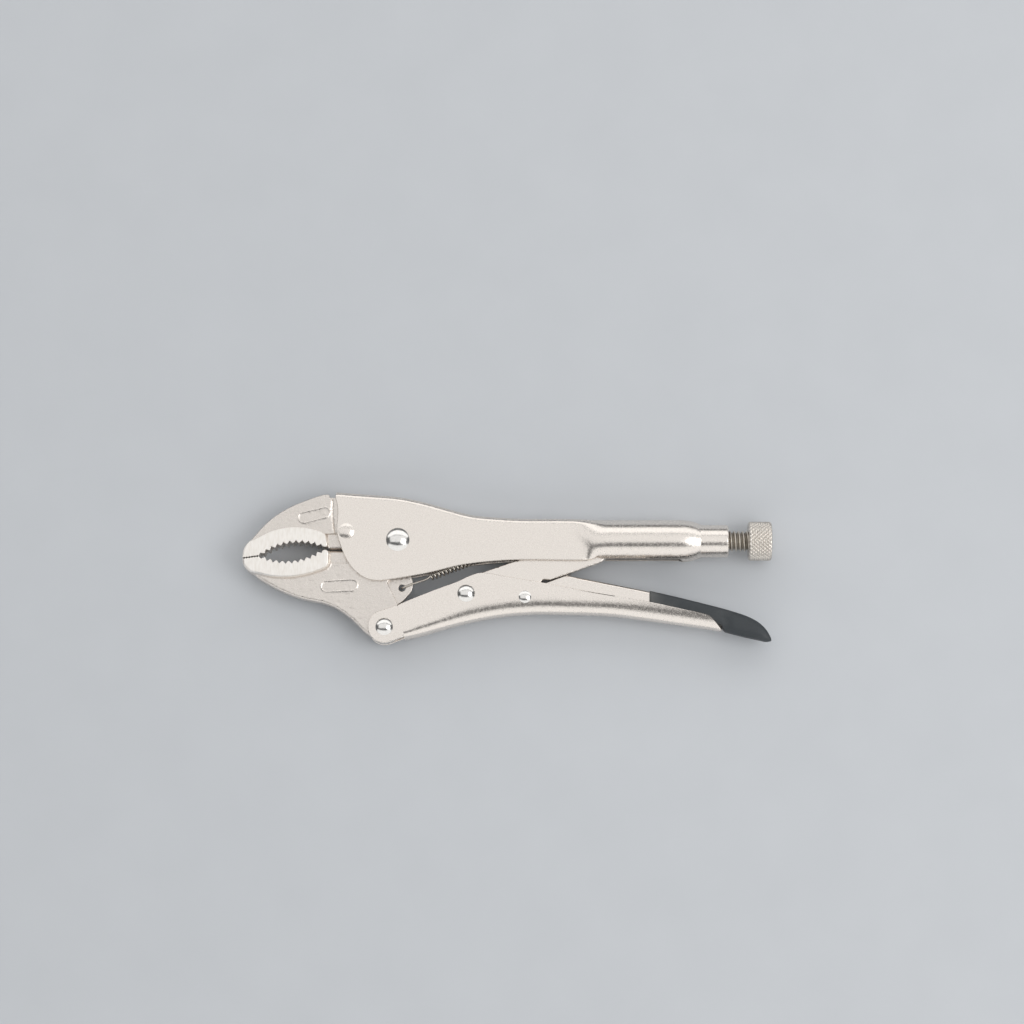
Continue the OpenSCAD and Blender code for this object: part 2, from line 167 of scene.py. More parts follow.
# ---------------------------------------------------------------- meshes
def add(name, points, faces, sharp=40):
    """A closed mesh from drawing points, smooth except where it turns by more than sharp degrees."""
    mesh = bpy.data.meshes.new(name)
    mesh.from_pydata([placed(p) for p in points], [], faces)
    bm = bmesh.new()
    bm.from_mesh(mesh)
    bmesh.ops.remove_doubles(bm, verts=bm.verts, dist=1e-7)
    bmesh.ops.delete(bm, geom=[v for v in bm.verts if not v.link_faces], context="VERTS")
    bmesh.ops.recalc_face_normals(bm, faces=bm.faces)
    bm.to_mesh(mesh)
    bm.free()
    mesh.shade_smooth()
    mesh.set_sharp_from_angle(angle=math.radians(sharp))
    obj = bpy.data.objects.new(name, mesh)
    bpy.context.scene.collection.objects.link(obj)
    return obj


def loft(name, loops, sharp=40):
    """A solid through closed loops of points, with a face over each end."""
    n = len(loops[0])
    points = [p for loop in loops for p in loop]
    faces = [(i * n + j, i * n + (j + 1) % n, (i + 1) * n + (j + 1) % n, (i + 1) * n + j)
             for i in range(len(loops) - 1) for j in range(n)]
    last = (len(loops) - 1) * n
    faces += [tuple(range(n)), tuple(range(last, last + n))]
    return add(name, points, faces, sharp)


def shell(name, stations, sharp=40):
    """A bent sheet: each station is its outer path and its inner path."""
    n = len(stations[0][0])
    loops = [outer + inner[::-1] for outer, inner in stations]
    points = [p for loop in loops for p in loop]
    m = 2 * n
    faces = [(i * m + j, i * m + (j + 1) % m, (i + 1) * m + (j + 1) % m, (i + 1) * m + j)
             for i in range(len(loops) - 1) for j in range(m)]
    for base in (0, (len(loops) - 1) * m):
        faces += [(base + j, base + j + 1, base + m - 2 - j, base + m - 1 - j)
                  for j in range(n - 1)]
    return add(name, points, faces, sharp)


def sheet_path(half, thick, inset=0.0):
    """The outer and inner path of one station, with rounded rims.

    half is the near half of the outer path from the middle plane to the rim, each a point and
    its outward normal. inset draws both faces in, for a rounded end."""
    rim, n = half[-1]
    out = (rim - half[-2][0]).normalized()
    e = EDGE
    turns = [math.radians(a) for a in (0, 30, 60, 90)]
    outer = [p - inset * m for p, m in half[:-1]]
    outer += [rim - e * (1 - math.sin(a)) * out - max(inset, e * (1 - math.cos(a))) * n
              for a in turns]
    inner = [p - (thick - inset) * m for p, m in half[:-1]]
    inner += [rim - e * (1 - math.sin(a)) * out
              - (thick - max(inset, e * (1 - math.cos(a)))) * n for a in turns]

    def whole(side):
        far = [Vector((p.x, p.y, -p.z)) for p in side[:0:-1]]
        return far + side

    return whole(outer), whole(inner)


def dense(line, step):
    """A line with points no further apart than step."""
    out = []
    for p, q in zip(line, line[1:]):
        p, q = Vector(p[:2]), Vector(q[:2])
        n = max(1, math.ceil((q - p).length / step))
        out += [p.lerp(q, i / n) for i in range(n)]
    return out + [Vector(line[-1][:2])]


def closed(loop):
    """The loop with its first point repeated at its end."""
    return list(loop) + [loop[0]]


def beside(line, d):
    """The line moved sideways, to the left of its direction when d is positive."""
    out = []
    for i, p in enumerate(line):
        v = line[min(i + 1, len(line) - 1)] - line[max(i - 1, 0)]
        out.append(p + Vector((-v.y, v.x)).normalized() * d)
    return out


def distance(points, line):
    """How far each point is from a line."""
    p = np.array(points)[:, None, :]
    a = np.array(line)[:-1]
    ab = np.array(line)[1:] - a
    t = np.clip(((p - a) * ab).sum(-1) / np.maximum((ab ** 2).sum(-1), 1e-12), 0, 1)
    return np.sqrt(((a + t[..., None] * ab - p) ** 2).sum(-1)).min(1)


def inside(points, loop):
    """Which points a closed loop holds."""
    x, y = np.array(points)[:, :1], np.array(points)[:, 1:]
    a = np.array(loop)
    b = np.roll(a, -1, 0)
    rise = np.where(b[:, 1] == a[:, 1], 1, b[:, 1] - a[:, 1])
    meets = a[:, 0] + (y - a[:, 1]) * (b[:, 0] - a[:, 0]) / rise
    return (((a[:, 1] > y) != (b[:, 1] > y)) & (x < meets)).sum(1) % 2 == 1


def relief(name, outline, levels, soft=(), creases=(), holes=(), grid=0.6):
    """A plate with worked faces.

    levels gives the heights of both faces at an array of points. soft lists stretches of the
    outline with the radius that their edges are rounded to. creases are lines of the relief."""
    loops = [dense(closed(loop), grid)[:-1] for loop in [outline, *holes]]
    rim = [closed(loop) for loop in loops]
    coords, edges, extra = [], [], []
    for loop in loops:
        n, base = len(loop), len(coords)
        coords += loop
        edges += [(base + i, base + (i + 1) % n) for i in range(n)]
    for line in creases:
        line, base = dense(line, grid), len(coords)
        coords += line
        edges += [(base + i, base + i + 1) for i in range(len(line) - 1)]
    for line, r in soft:
        for f in (0.06, 0.2, 0.42, 0.7, 1.0):
            for side in (1, -1):
                ring = beside(dense(line, grid), side * f * r)
                away = np.min([distance(ring, c) for c in rim], axis=0)
                extra += [p for p, ok, d in zip(ring, inside(ring, loops[0]), away)
                          if ok and d > 0.93 * f * r]
    low, high = np.array(loops[0]).min(0), np.array(loops[0]).max(0)
    rows = int((high[1] - low[1]) / (0.866 * grid)) + 1
    hexes = [Vector((x + grid / 2 * (j % 2), low[1] + 0.866 * grid * j)) for j in range(rows)
             for x in np.arange(low[0], high[0], grid)]
    keep = inside(hexes, loops[0])
    for c in rim + [dense(line, grid) for line in creases]:
        keep &= distance(hexes, c) > 0.45 * grid
    coords += extra + [p for p, ok in zip(hexes, keep) if ok]
    verts, _, faces, *_ = delaunay_2d_cdt(coords, edges, [], 1, 1e-6)
    middles = [sum((verts[i] for i in f), Vector((0, 0))) / len(f) for f in faces]
    keep = inside(middles, loops[0])
    for hole in loops[1:]:
        keep &= ~inside(middles, hole)
    faces = [tuple(f) for f, ok in zip(faces, keep) if ok]
    near, far = levels(np.array(verts))
    drop = np.zeros(len(verts))
    for line, r in soft:
        d = np.minimum(distance(verts, line), r)
        drop = np.maximum(drop, r - np.sqrt(r * r - (r - d) ** 2))
    n = len(verts)
    points = [(v.x, v.y, z) for v, z in zip(verts, near - drop)]
    points += [(v.x, v.y, z) for v, z in zip(verts, far + drop)]
    used = {}
    for f in faces:
        for a, b in zip(f, f[1:] + f[:1]):
            used[frozenset((a, b))] = used.get(frozenset((a, b)), 0) + 1
    walls = [(a, b, b + n, a + n) for f in faces for a, b in zip(f, f[1:] + f[:1])
             if used[frozenset((a, b))] == 1]
    back = [tuple(i + n for i in reversed(f)) for f in faces]
    return add(name, points, faces + back + walls, 40)


def plate(name, outline, z0, z1, r=EDGE, whole=True, holes=(), grid=1.2):
    """A flat piece with its edges rounded to r. If it isn't whole, the last edge stays square."""
    outline = [Vector(p[:2]) for p in outline]
    soft = [(closed(outline) if whole else outline, r)] + [(closed(h), r) for h in holes]

    def levels(xy):
        return np.full(len(xy), z1), np.full(len(xy), z0)

    return relief(name, outline, levels, soft, (), holes, grid)


def lathe(name, profile, at, axis="z", steps=72, sharp=40):
    """A round solid about an axis through a point. profile is (radius, height) pairs."""
    loops = []
    for r, h in profile:
        ring = []
        for i in range(steps):
            a = 2 * math.pi * i / steps
            u, v = r * math.cos(a), r * math.sin(a)
            ring.append((at[0] + u, at[1] + v, h) if axis == "z" else (h, at[1] + u, v))
        loops.append(ring)
    return loft(name, loops, sharp)


def join(name, parts):
    """Several closed solids as one piece."""
    bm = bmesh.new()
    for part in parts:
        bm.from_mesh(part.data)
    mesh = bpy.data.meshes.new(name)
    bm.to_mesh(mesh)
    bm.free()
    for part in parts:
        bpy.data.objects.remove(part)
    mesh.set_sharp_from_angle(angle=math.radians(40))
    obj = bpy.data.objects.new(name, mesh)
    bpy.context.scene.collection.objects.link(obj)
    return obj


def finish_piece(obj, material, slot, body, *nodes):
    """Gives a piece its material, its body, if it moves with just one, and its CAD nodes."""
    obj.data.materials.clear()
    obj.data.materials.append(material)
    flat = obj.modifiers.new("flat_faces", "WEIGHTED_NORMAL")
    flat.keep_sharp = True
    if body:
        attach(obj, body)
    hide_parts(*nodes)
    return obj


def paint(obj, material, test):
    """Gives the faces whose middle passes the test a second material."""
    obj.data.materials.append(material)
    for face in obj.data.polygons:
        if test(drawn(face.center)):
            face.material_index = len(obj.data.materials) - 1


# ---------------------------------------------------------------- materials
def shader(name, color, metallic, roughness):
    """A new material: itself, its node tree, its shader and the point on the object."""
    mat = bpy.data.materials.new(name)
    mat.use_nodes = True
    tree = mat.node_tree
    bsdf = tree.nodes["Principled BSDF"]
    bsdf.inputs["Base Color"].default_value = (*color, 1)
    bsdf.inputs["Metallic"].default_value = metallic
    bsdf.inputs["Roughness"].default_value = roughness
    where = tree.nodes.new("ShaderNodeTexCoord").outputs["Object"]
    return mat, tree, bsdf, where


def texture(tree, where, scale, detail, stretch=None):
    """Noise about 0.5 at a scale per metre, stretched along the axes if asked."""
    if stretch:
        move = tree.nodes.new("ShaderNodeMapping")
        move.inputs["Scale"].default_value = stretch
        tree.links.new(where, move.inputs["Vector"])
        where = move.outputs["Vector"]
    tex = tree.nodes.new("ShaderNodeTexNoise")
    tex.inputs["Scale"].default_value = scale
    tex.inputs["Detail"].default_value = detail
    tree.links.new(where, tex.inputs["Vector"])
    return tex.outputs["Fac"]


def ranged(tree, value, low, high, from_low=0.3, from_high=0.7):
    """A value spread from one range onto another."""
    node = tree.nodes.new("ShaderNodeMapRange")
    node.inputs["From Min"].default_value = from_low
    node.inputs["From Max"].default_value = from_high
    node.inputs["To Min"].default_value = low
    node.inputs["To Max"].default_value = high
    tree.links.new(value, node.inputs["Value"])
    return node.outputs["Result"]


def tinted(tree, bsdf, value, dark, light):
    """Colours the surface from dark to light as the value goes from 0 to 1."""
    mix = tree.nodes.new("ShaderNodeMix")
    mix.data_type = "RGBA"
    mix.inputs["A"].default_value = (*dark, 1)
    mix.inputs["B"].default_value = (*light, 1)
    tree.links.new(value, mix.inputs["Factor"])
    tree.links.new(mix.outputs["Result"], bsdf.inputs["Base Color"])


def bumped(tree, bsdf, layers):
    """Bumps on top of each other: (height, strength, depth in metres)."""
    normal = None
    for height, strength, depth in layers:
        bump = tree.nodes.new("ShaderNodeBump")
        bump.inputs["Strength"].default_value = strength
        bump.inputs["Distance"].default_value = depth
        tree.links.new(height, bump.inputs["Height"])
        if normal:
            tree.links.new(normal, bump.inputs["Normal"])
        normal = bump.outputs["Normal"]
    tree.links.new(normal, bsdf.inputs["Normal"])


def nickel(name, dark, light, rough, grain, hammer=0.0, brush=0.0):
    """Nickel plate: blasted grain, with a forging's uneven skin or a belt's marks if asked."""
    mat, tree, bsdf, where = shader(name, light, 1.0, sum(rough) / 2)
    speck = texture(tree, where, 3400, 2)
    fine = texture(tree, where, 900, 5)
    layers = [(speck, grain, 0.00004), (fine, grain * 0.7, 0.0001)]
    tone = speck
    if hammer:
        layers.append((texture(tree, where, 240, 3), hammer, 0.0006))
        layers.append((texture(tree, where, 620, 3, stretch=(0.6, 1.3, 1)), hammer, 0.0002))
    if brush:
        tone = texture(tree, where, 1, 4, stretch=(1100, 260, 200))
        layers.append((tone, brush, 0.0002))
    tinted(tree, bsdf, ranged(tree, tone, 0, 1, 0.25, 0.62), dark, light)
    tree.links.new(ranged(tree, fine, *rough), bsdf.inputs["Roughness"])
    bumped(tree, bsdf, layers)
    return mat


NICKEL = nickel("satin_nickel", (0.77, 0.715, 0.66), (0.90, 0.84, 0.78), (0.19, 0.30), 0.50)
FORGED = nickel("forged_nickel", (0.66, 0.61, 0.565), (0.81, 0.755, 0.70), (0.24, 0.38), 0.55,
                hammer=0.5)
GROUND = nickel("ground_nickel", (0.88, 0.83, 0.765), (0.985, 0.945, 0.895), (0.30, 0.42), 0.2,
                brush=0.12)
POLISHED = nickel("polished_nickel", (0.76, 0.74, 0.71), (0.90, 0.88, 0.85), (0.15, 0.23), 0.10)
THREAD = nickel("plated_thread", (0.50, 0.46, 0.40), (0.78, 0.74, 0.68), (0.26, 0.42), 0.15)
# Dark: painted shade in the thread's roots.
THREAD_ROOT_SHADE = nickel("painted_shade_thread_root", (0.20, 0.18, 0.15), (0.40, 0.36, 0.31), (0.35, 0.5), 0.15)
WIRE = nickel("spring_wire", (0.48, 0.45, 0.40), (0.76, 0.71, 0.64), (0.24, 0.38), 0.12)
# Darker than the satin nickel: painted shade standing in for the knurl's grooves over the whole knob.
KNURL_SHADED_NICKEL = nickel("knurled_nickel_painted_shade", (0.60, 0.555, 0.50), (0.80, 0.75, 0.69), (0.18, 0.30), 0.10)
# Near black: painted shade for the tube's inside, seen through the slot along its underside.
TUBE_INSIDE_SHADE = nickel("painted_shade_tube_inside", (0.16, 0.15, 0.14), (0.26, 0.245, 0.23), (0.45, 0.62), 0.30)


def make_vinyl():
    """Dipped plastic: dark slate, finely dimpled, cloudy and greyer where its front edge is thin."""
    mat, tree, bsdf, where = shader("dipped_vinyl", (0.055, 0.063, 0.07), 0.0, 0.55)
    axes = tree.nodes.new("ShaderNodeSeparateXYZ")
    tree.links.new(where, axes.inputs["Vector"])
    start = placed((COAT_X, 0)).x
    thin = ranged(tree, axes.outputs["X"], 0.7, 0, start, start + 0.008)
    cloud = ranged(tree, texture(tree, where, 90, 4), -0.15, 0.25)
    both = tree.nodes.new("ShaderNodeMath")
    both.use_clamp = True
    tree.links.new(thin, both.inputs[0])
    tree.links.new(cloud, both.inputs[1])
    tinted(tree, bsdf, both.outputs[0], (0.034, 0.040, 0.045), (0.110, 0.112, 0.110))
    skin = texture(tree, where, 1500, 3)
    tree.links.new(ranged(tree, skin, 0.46, 0.66), bsdf.inputs["Roughness"])
    bumped(tree, bsdf, [(skin, 0.25, 0.00008), (texture(tree, where, 300, 2), 0.15, 0.0003)])
    return mat


VINYL = make_vinyl()

# ---------------------------------------------------------------- fixed handle
# Radius of the bends along the spine. Along x: start and end of the flare into the tube at its
# top and at its rim, the relief notch in the rim, the closed ring, the tube's end and the start
# of its shoulder. Half angles of the slot and of the ring's seam, and the rough lengths of a
# cheek and of its front edge, which set how far down them the first points lie.
BEND = 3.0
FLARE_UPPER, FLARE_LOWER = (81.0, 99.5), (86.5, 96.0)
NOTCH = 94.3
RING = 136.0
TUBE_END = SLEEVE_BOX[0].x + 7.0
SHOULDER = 131.0
SLOT_HALF, SEAM_HALF = 26.0, 1.2
CHANNEL_RUN, FRONT_RUN = 115, 42
SPINE = curve([(-29.3, 22.9), (-15, 21.8), (0, 20.6), (12, 18.2), (24, 14.8), (35, 12),
               (46, 10.9), (58, 10.25), (72, 10.2), (FLARE_UPPER[0], 10.15)], 8)
FRONT = curve([(-29.3, 22.9), (-29.2, 13), (-28.5, 5), (-26.8, -2), (-24.6, -8), (-21.8, -12.7),
               (-18.2, -16.5)], 8)
UNDER = curve([(-18.2, -16.5), (-14, -18.6), (-9, -19.4), (0, -18.3), (15, -15.6), (30, -12),
               (45, -10.2), (60, -9.5), (FLARE_UPPER[0], -9.75)], 8)


def handle_half(s):
    """The near half of the channel's section a fraction s along the cheeks."""
    top = along(SPINE, s)
    ahead = along(SPINE, min(s + 0.01, 1)) - along(SPINE, max(s - 0.01, 0))
    down = Vector((ahead.y, -ahead.x)).normalized()
    half = [(Vector((*top, (CHEEK - BEND) * k / 3)), Vector((*(-down), 0))) for k in range(4)]
    for k in range(1, 7):
        a = math.radians(15 * k)
        p = top + down * BEND * (1 - math.cos(a))
        half.append((Vector((*p, CHEEK - BEND + BEND * math.sin(a))),
                     Vector((*(-down * math.cos(a)), math.sin(a)))))
    rows = 16
    skip = BEND / FRONT_RUN
    start, end = SPINE[0], FRONT[-1]
    for k in range(1, rows + 1):
        u = k / rows
        f = skip + (1 - skip) * u
        lean = along(FRONT, f) - start.lerp(end, f)
        low = along(UNDER, s)
        p = (top + down * BEND).lerp(low, u) + lean * (1 - s) ** 3 * smooth(0, 0.45, u)
        half.append((Vector((*p, CHEEK)), Vector((0, 0, 1))))
    return half


def tube_radius(x):
    """Outer radius along the tube and its rounded shoulder."""
    drop = max(0.0, x - SHOULDER) / (TUBE_END - SHOULDER)
    return TUBE_R - (TUBE_R - SLEEVE_BOX[1].y - 0.35) * drop ** 2.6


def round_half(x, count):
    """The same section rolled into a tube, open along its underside."""
    r = tube_radius(x)
    gap = SEAM_HALF + (SLOT_HALF - SEAM_HALF) * (1 - smooth(RING - 3.5, RING - 0.3, x))
    out = []
    for k in range(count):
        a = math.radians((180 - gap) * k / (count - 1))
        n = Vector((0, math.cos(a), math.sin(a)))
        out.append((Vector((x, 0, 0)) + n * r, n))
    return out


def make_fixed_handle():
    """A channel whose section is rolled, between FLARE_UPPER and FLARE_LOWER, into a tube."""
    stations = []
    for degrees in (90, 60, 30):
        a = math.radians(degrees)
        inset = EDGE * (1 - math.cos(a))
        half = handle_half(EDGE * (1 - math.sin(a)) / CHANNEL_RUN)
        stations.append(sheet_path(half, SHEET, inset))
    spans = 64
    stations += [sheet_path(handle_half(0.003 + 0.997 * (i / spans) ** 1.25), SHEET)
                 for i in range(spans + 1)]
    last = handle_half(1.0)
    lengths = [0.0]
    for (p, _), (q, _) in zip(last, last[1:]):
        lengths.append(lengths[-1] + (q - p).length)
    # The sections are closest where they change: over the flare, at the ring and its shoulder.
    xs = [FLARE_UPPER[0] + 0.8 * i for i in range(1, 24)]
    xs += [101 + 4 * i for i in range(9)] + [RING - 3.2 + 0.4 * i for i in range(9)]
    xs += [137 + (TUBE_END - 137) * i / 14 for i in range(15)]
    for x in xs:
        tube = round_half(x, 200)
        half = []
        notch = 0.065 * math.exp(-((x - NOTCH) / 1.5) ** 2)
        for (p, n), length in zip(last, lengths):
            f = length / lengths[-1] * (1 - notch)
            flat = along([q for q, _ in last], f)
            k = f * (len(tube) - 1)
            q, qn = tube[int(round(k))]
            lower = smooth(0.35, 0.8, f)
            flare = smooth(FLARE_UPPER[0] + (FLARE_LOWER[0] - FLARE_UPPER[0]) * lower,
                           FLARE_UPPER[1] + (FLARE_LOWER[1] - FLARE_UPPER[1]) * lower, x)
            half.append((Vector((x, flat.y, flat.z)).lerp(q, flare), n.lerp(qn, flare).normalized()))
        wall = tube_radius(x) - SLEEVE_BOX[1].y + 0.01
        stations.append(sheet_path(half, SHEET if x < RING else min(SHEET, max(wall, 0.45))))
    handle = finish_piece(shell("handle_body", stations, 50), NICKEL, "nickel_plate", "handle",
                          "fixed_handle")
    # The tube's inside and the cut faces of its slot get painted shade.
    paint(handle, TUBE_INSIDE_SHADE, lambda c: c.x > 97 and math.hypot(c.y, c.z) < tube_radius(c.x) - 0.3)
    return handle


# ---------------------------------------------------------------- jaws
# Teeth on each curved lip and their height, ends of the upper lip's mouth, the spring's hole in
# the tab, the line where the cutter's blades meet and half the width of their pocket's floor.
TEETH = 11
BITE = 1.5
MOUTH_BACK = (-35.2, -3.4)
MOUTH_FRONT = (-65.5, -7.8)
HOOK = (1.9, -22.5)
CUT_Y = -4.45
CUTTER = 2.3


def teeth(p0, p1, sag):
    """Points of a row of teeth along a bow from p0 to p1 that rises by sag."""
    p0, p1 = Vector(p0), Vector(p1)
    half = (p1 - p0).length / 2
    side = Vector((-(p1 - p0).y, (p1 - p0).x)).normalized()
    r = (half * half + sag * sag) / (2 * sag)
    c = (p0 + p1) / 2 + (sag - r) * side
    sign = math.copysign(1, r)
    spread = math.asin(half / abs(r))
    mid = math.atan2(sign * side.y, sign * side.x)
    out = []
    for i in range(2 * TEETH + 1):
        a = mid + sign * spread * (1 - i / TEETH)
        bite = 0 if i in (0, 2 * TEETH) else (-BITE if i % 2 == 0 else BITE) / 2
        out.append(c + (abs(r) + bite) * Vector((math.cos(a), math.sin(a))))
    return out


def serrations(side):
    """The fine teeth of the flat nose, from its tip to the mouth."""
    nose, mouth = Vector((NOSE + 0.25, -8.8)), Vector(MOUTH_FRONT)
    return [nose.lerp(mouth, i / 12) + Vector((0, side * (0.06 if i % 2 == 0 else 0.45)))
            for i in range(13)]


def oval_mark(centre, length, height, tilt):
    """The line of a blank oval panel on a web."""
    a, r = math.radians(tilt), height / 2
    run = length / 2 - r
    path = arc((run, 0), r, -90, 90, 10) + arc((-run, 0), r, 90, 270, 10)
    return closed([Vector((centre[0] + p.x * math.cos(a) - p.y * math.sin(a),
                           centre[1] + p.x * math.sin(a) + p.y * math.cos(a))) for p in path])


def jaw_levels(lip, lip_line, slope, recess, edge_y, oval, rough_to):
    """Height of a jaw's face: forged web, raised ground lip, cutter pocket and oval panel.

    The lip falls to the web over slope, the blade in the pocket thins towards edge_y, and the
    forged skin is uneven ahead of rough_to."""
    clear = 9

    def levels(xy):
        ahead = distance(xy, lip_line) * np.where(inside(xy, lip), 1, -1)
        t = np.clip((ahead + slope) / slope, 0, 1)
        raised = t * t * (3 - 2 * t)
        h = WEB + (LIP - WEB) * raised
        skin = np.array([0.11 * noise.noise(Vector((x * 0.30, y * 0.30, 1.7)))
                         + 0.08 * noise.noise(Vector((x * 0.75, y * 0.9, 7.1))) for x, y in xy])
        worn = np.clip((rough_to - xy[:, 0]) / 1.5, 0, 1) * (1 - raised)
        h += skin * worn
        h += 0.22 * np.exp(-(distance(xy, oval) / 0.30) ** 2) * (1 - raised)
        deep = distance(xy, closed(recess)) * np.where(inside(xy, recess), 1, -1)
        h = np.where(deep > 0, h + (CUTTER - h) * np.clip(deep / 0.4, 0, 1), h)
        in_pocket = xy[:, 0] > recess[0].x + 0.2
        blade = np.where(in_pocket, 0.3 + 2.4 * np.abs(xy[:, 1] - edge_y), clear)
        h = np.minimum(h, np.where(xy[:, 0] > -12, clear, blade))
        return h, -h

    return levels


# The line ground across the upper web, along the handle's front edge.
GROOVE = curve([(-30.6, 24), (-30.9, 13), (-29.9, 5), (-29.4, 3.4)])


def make_fixed_jaw():
    web_line = curve([(-70.2, -0.8), (-65, 5.3), (-60, 10.1), (-55, 13.7), (-50, 16.4), (-45, 18.5),
                      (-40, 20.4), (-36, 21.7), (-33.2, 22.0)], 6)
    nose_line = curve([(NOSE, -7.0), (-72.9, -5), (-71.9, -2.8), (-70.2, -0.8)], 6)
    mouth = teeth(MOUTH_FRONT, MOUTH_BACK, 4.3)
    nose = serrations(1)
    lip_end = [Vector((-33.2, -3.5)), Vector((-34.1, 1.2)), Vector((-34.4, 2.6))]
    slit = [Vector((-32.6, CUT_Y + 0.15)), Vector((-25, CUT_Y + 0.15))]
    edge_y = slit[0].y
    block = [Vector(p) for p in ((-32.1, 20.3), (-28, 20.2), (-15, 19.2), (-6, 18.4))]
    block += arc((0, 0), 10.5, 124, 202, 10) + [Vector((-12, -4.1))]
    outline = nose_line + web_line[1:] + [Vector((-32.6, 21.6))] + block + slit[::-1]
    outline += [lip_end[0]] + mouth[::-1] + nose[:0:-1] + [nose[0]]
    lip_line = curve([(-70.6, -0.8), (-68, -0.3), (-65, 1.2), (-60, 3.7), (-55, 5.1), (-50, 5.75),
                      (-45, 5.6), (-40, 4.7), (-36.4, 3.6), (-34.9, 2.9)], 5) + lip_end[::-1]
    lip = [Vector((-80, -0.8))] + lip_line + [Vector((-33.2, -15)), Vector((-80, -15))]
    recess = [Vector(p) for p in ((-33.5, 3.1), (-33.0, -6), (-24.5, -6), (-24.5, 3.6))]
    oval = oval_mark((-39.7, 12.0), 15.2, 4.9, 14)
    flat_levels = jaw_levels(lip, lip_line, 0.4, recess, edge_y, oval, -30.5)

    def levels(xy):
        h, _ = flat_levels(xy)
        h -= 0.45 * np.exp(-(distance(xy, GROOVE) / 0.55) ** 2)
        return h, -h

    soft = [(web_line + [Vector((-32.6, 21.6)), Vector((-32.1, 20.3))], 0.9), (nose_line, 1.0),
            (mouth + nose, 0.13), ([mouth[-1], lip_end[0], Vector((-33.4, -2.2))], 0.3)]
    creases = [beside(lip_line[1:-4], d) for d in (0, 0.2, 0.4)]
    creases += [lip_end, beside(lip_end, -0.2)] + [beside(GROOVE, d) for d in (-1, -0.5, 0, 0.5)]
    creases += [beside(oval, d) for d in (-0.35, 0, 0.35)]
    creases += [[Vector((-33.45, 2.6)), recess[0], recess[3]],
                [Vector((-32.7, -3.6)), Vector((-33.1, 2.7)), Vector((-24.9, 3.2))]]
    jaw = relief("upper_jaw", outline, levels, soft, creases)
    tongue = plate("tongue", [(-14, 12), (-14, -3.5)] + arc((0, 0), 8.3, 248, 470), -1.5, 1.5)
    jaw = join("upper_jaw", [jaw, tongue])
    finish_piece(jaw, FORGED, "nickel_plate", "handle", "fixed_jaw")
    paint(jaw, GROUND, lambda c: abs(c.z) > (WEB + LIP) / 2 and c.x < -32)
    return jaw


def make_movable_jaw():
    back_line = curve([(-68.4, -15.9), (-65, -18.6), (-60, -21.6), (-55, -24.1), (-50, -26.2),
                       (-45, -27.8), (-40, -28.9), (-35, -29.9), (-30, -31.7), (-25, -34.8),
                       (-20, -39), (-15.5, -43.6)], 6) + arc(LEVER_PIVOT, 7.6, 218, 360, 20)
    nose_line = curve([(NOSE, -9.3), (-72.9, -11.6), (-71.6, -13.6), (-69.8, -15.2), (-68.4, -15.9)],
                      6)
    mouth_back = (MOUTH_BACK[0], -4.85)
    mouth = teeth(MOUTH_FRONT, mouth_back, -4.3)
    nose = serrations(-1)
    rear = [Vector(p) for p in ((0, -30.5), (-4.8, -20.5), (-4.2, -19))]
    slot_line = arc((0, 0), 9.0, 271, 249, 4) + [Vector((-16, -4.9)), Vector((-25, -4.6))]
    edge = Vector((-32.2, CUT_Y - 0.15))
    corner = [Vector((-33.0, -5.6)), Vector((-33.6, -4.8))]
    outline = nose_line + back_line[1:] + rear + slot_line + [edge] + corner
    outline += mouth[::-1] + nose[:0:-1] + [nose[0]]
    lip_end = [Vector((-33.0, -5.2)), Vector((-32.9, -10.8)), Vector((-33.6, -12.2))]
    lip_line = curve([(-69.6, -14.6), (-68, -14.9), (-65.5, -15.3), (-62, -16.2), (-58, -16.9),
                      (-52, -17.1), (-47, -16.6), (-42, -15.5), (-37.5, -14.1), (-34.6, -12.9)], 5)
    lip_line += lip_end[::-1]
    lip = [Vector((-80, -14.6))] + lip_line + [Vector((-33.0, 5)), Vector((-80, 5))]
    recess = [Vector(p) for p in ((-32.6, -3), (-32.2, -11.0), (-22, -11.0), (-22, -3))]
    oval = oval_mark((-27.6, -21.6), 17.2, 5.2, 3)
    levels = jaw_levels(lip, lip_line, 1.5, recess, edge.y, oval, -19)
    soft = [(back_line, 1.25), (nose_line, 1.1), (mouth + nose, 0.13), (rear, 0.5),
            ([mouth[-1]] + corner[::-1], 0.4)]
    creases = [beside(lip_line[1:-3], -d) for d in (0, 0.4, 0.75, 1.1, 1.5)]
    creases += [lip_end, beside(lip_end, 0.2)]
    creases += [beside(oval, d) for d in (-0.35, 0, 0.35)]
    creases += [[Vector((-32.4, -5.2)), Vector((-32.2, -11.0)), Vector((-22.5, -11.0))],
                [Vector((-32.0, -5.2)), Vector((-31.8, -10.6)), Vector((-22.5, -10.6))]]
    jaw = relief("lower_jaw", outline, levels, soft, creases)
    ear = [Vector(p) for p in ((-6, -15.5), (4.6, -8.9))] + arc((0, 0), 10, -58, 207, 24)
    ear += [Vector((-14, -6))]
    ears = [plate("ear", ear, *z, 0.25) for z in ((1.62, WEB - 0.02), (0.02 - WEB, -1.62))]
    tab = [Vector(p) for p in ((1.5, -9.6), (5.9, -16.5), (7.0, -19.8), (6.85, -22.6),
                               (5.5, -25.3), (1.0, -29.8), (-5, -30.8), (-6.5, -12))]
    tab = plate("tab", curve(tab, 4), -1.2, 1.2, 0.3, True, [arc(HOOK, 1.6, 0, 345, 23)], 0.9)
    jaw = join("lower_jaw", [jaw, tab] + ears)
    finish_piece(jaw, FORGED, "nickel_plate", "jaw", "movable_jaw")
    paint(jaw, GROUND, lambda c: abs(c.z) > (WEB + LIP) / 2 and c.x < -32)
    return jaw


